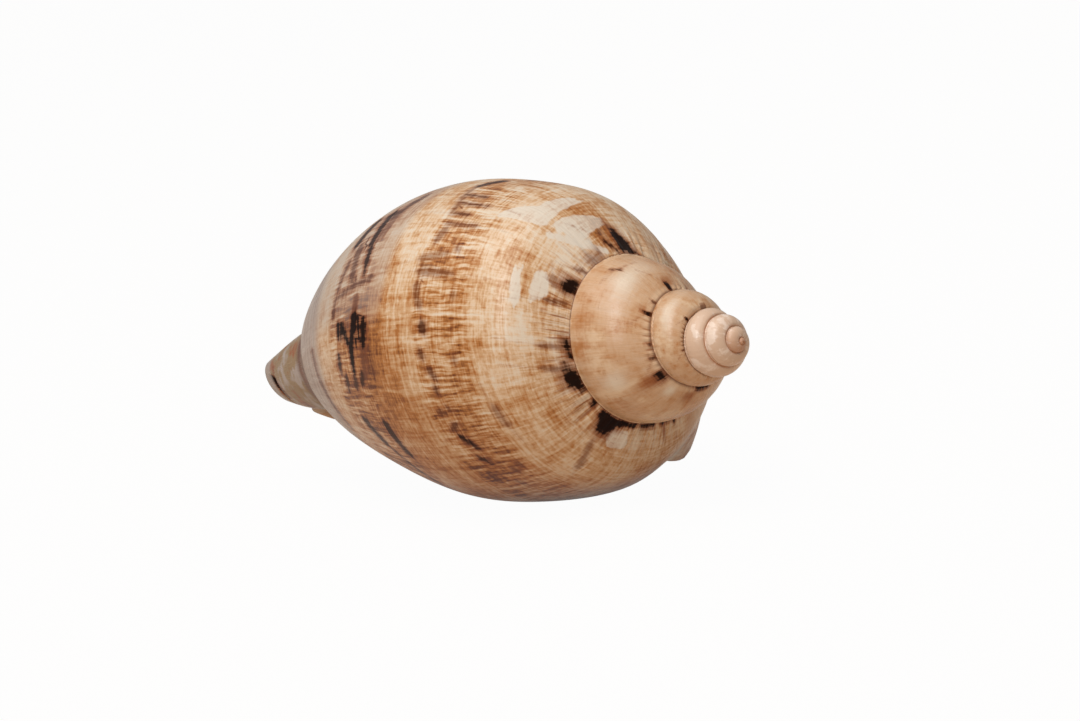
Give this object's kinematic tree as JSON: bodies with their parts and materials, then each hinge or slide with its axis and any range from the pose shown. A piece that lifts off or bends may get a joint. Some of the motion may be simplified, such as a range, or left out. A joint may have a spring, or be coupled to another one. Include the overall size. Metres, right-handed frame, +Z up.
{
  "type": "volute shell",
  "caption": "Spiral sea snail shell with a domed spire tip, a rounded spire, a swollen egg-shaped last whorl, a long narrow opening and a short notched canal, lying opening down.",
  "frame": {"origin": "centre of the shell's bounding box in plan, on the surface it rests on", "axes": "+Z up with the opening facing down; +X along the length, towards the tip of the spire; -Y is the side away from the outer lip"},
  "size_m": [0.1316, 0.0652, 0.0581],
  "materials": {
    "shell": "semi-gloss cream shell with tan and orange-brown netting, broken dark brown bands and near-black blotches under the suture"
  },
  "bodies": {
    "root": {"shell": "shell"}
  },
  "joints": []
}
